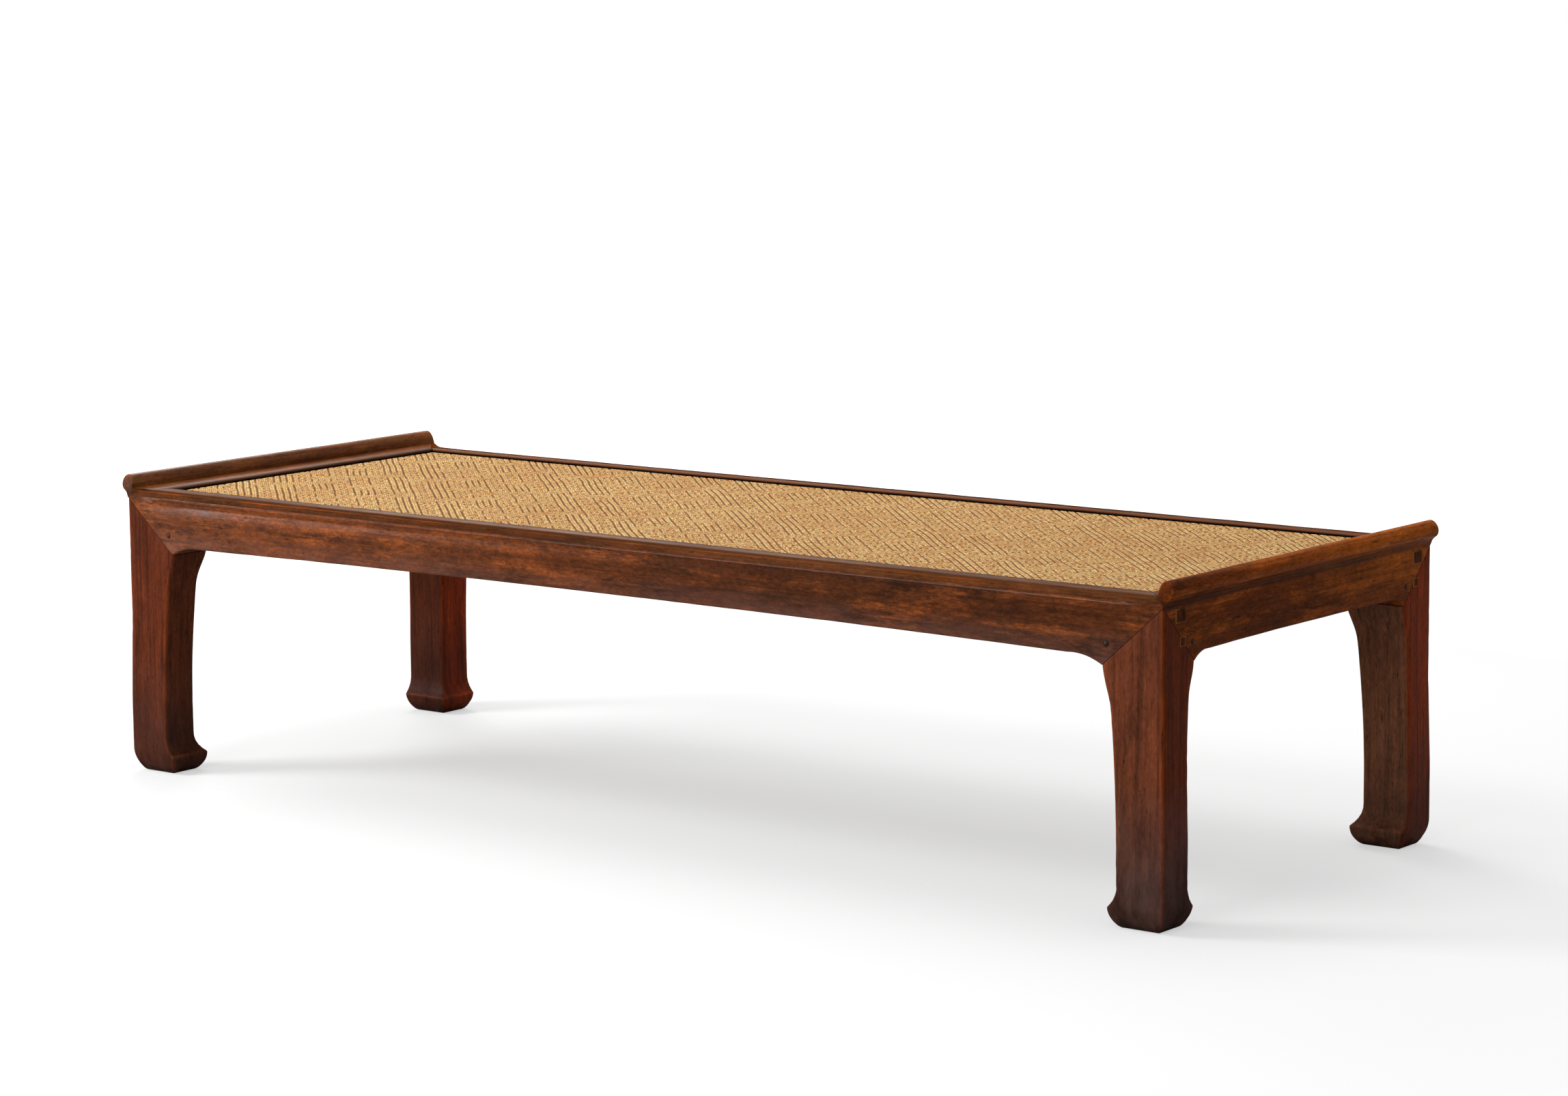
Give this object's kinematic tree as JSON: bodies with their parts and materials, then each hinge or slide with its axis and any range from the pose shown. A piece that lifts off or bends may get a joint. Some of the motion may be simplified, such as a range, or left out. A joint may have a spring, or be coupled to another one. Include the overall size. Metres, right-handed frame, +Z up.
{
  "type": "low daybed",
  "caption": "Low wooden daybed with hoof feet, a flat woven cane seat in a mitred frame and a low rolled lip along each short end.",
  "frame": {"origin": "on the floor, under the middle of the bed", "axes": "+X along the long side, +Y across from the front to the back, +Z up"},
  "size_m": [2.023, 0.733, 0.488],
  "materials": {
    "lacquered_wood": "dark reddish-brown lacquer, worn and streaked",
    "strip_wood": "grey-brown, thin worn lacquer",
    "peg_wood": "dark end grain",
    "bare_wood": "unlacquered, dusty",
    "bamboo": "dry bamboo ends",
    "palm_fibre": "coarse brown palm cord",
    "cane": "fine split cane, golden, with darker strands"
  },
  "bodies": {
    "root": {"leg_front_left": "lacquered_wood", "leg_front_right": "lacquered_wood", "leg_back_left": "lacquered_wood", "leg_back_right": "lacquered_wood", "long_rail_front": "lacquered_wood", "long_rail_back": "lacquered_wood", "end_rail_left": "lacquered_wood", "end_rail_right": "lacquered_wood", "cross_stretcher_1": "bare_wood", "cross_stretcher_2": "bare_wood", "cross_stretcher_3": "bare_wood", "palm_webbing": "palm_fibre", "cane_mat": "cane", "mat_strip_front": "strip_wood", "mat_strip_back": "strip_wood", "mat_strip_left": "strip_wood", "mat_strip_right": "strip_wood", "corner_pegs_front": "peg_wood", "corner_pegs_back": "peg_wood", "corner_pegs_left": "peg_wood", "corner_pegs_right": "peg_wood", "strip_pins_front": "bamboo", "strip_pins_back": "bamboo", "strip_pins_left": "bamboo", "strip_pins_right": "bamboo"}
  },
  "joints": []
}
